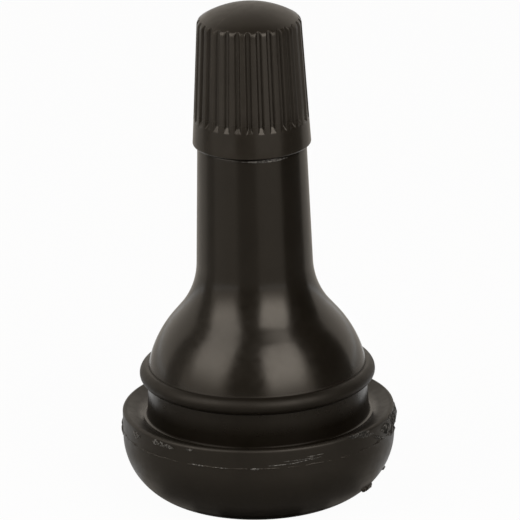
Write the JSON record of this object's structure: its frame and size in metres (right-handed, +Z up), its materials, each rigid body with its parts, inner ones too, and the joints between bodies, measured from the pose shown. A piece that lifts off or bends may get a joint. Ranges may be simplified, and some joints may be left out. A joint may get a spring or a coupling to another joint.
{
  "type": "tyre valve",
  "caption": "Snap-in rubber tubeless tyre valve with bell-shaped body, rim groove, brass stem with sprung valve core, and fluted plastic screw cap.",
  "frame": {"origin": "middle of the base's flat underside, on the valve's axis", "axes": "+Z up the valve's axis towards the cap; -Y faces the picture's camera"},
  "size_m": [0.0243, 0.024, 0.0449],
  "materials": {
    "body_rubber": "satin moulded black rubber with a thin parting line",
    "stem_brass": "turned brass",
    "core_brass": "turned brass",
    "gasket_polymer": "off-white slippery polymer",
    "spring_steel": "drawn spring wire",
    "seal_rubber": "matt black rubber",
    "cap_plastic": "fine matt moulded black plastic"
  },
  "bodies": {
    "valve": {"rubber_body": "body_rubber", "valve_stem": "stem_brass", "core_plug": "core_brass", "core_barrel": "core_brass", "barrel_gasket": "gasket_polymer", "core_spring": "spring_steel"},
    "pin": {"core_pin": "core_brass", "pin_cup": "core_brass", "seat_washer": "seal_rubber"},
    "seal": {"cap_seal": "seal_rubber"},
    "cap": {"cap_shell": "cap_plastic"}
  },
  "joints": [
    {"name": "pin_press", "type": "slide", "parent": "valve", "child": "pin", "axis": [0, 0, -1], "range_m": [0, 0.0016], "stiffness_N_per_m": 600, "springref_m": -0.003, "deforming": ["core_spring"]},
    {"name": "cap_lift", "type": "slide", "parent": "valve", "child": "seal", "axis": [0, 0, 1], "range_m": [0, 0.00953]},
    {"name": "cap_turn", "type": "hinge", "parent": "seal", "child": "cap", "pos_m": [0, 0, 0.0378], "axis": [0, 0, 1], "range_deg": [0, 4320]}
  ],
  "couplings": [
    {"joint": "cap_turn", "follows": "cap_lift", "rad_per_m": 7915.8}
  ]
}
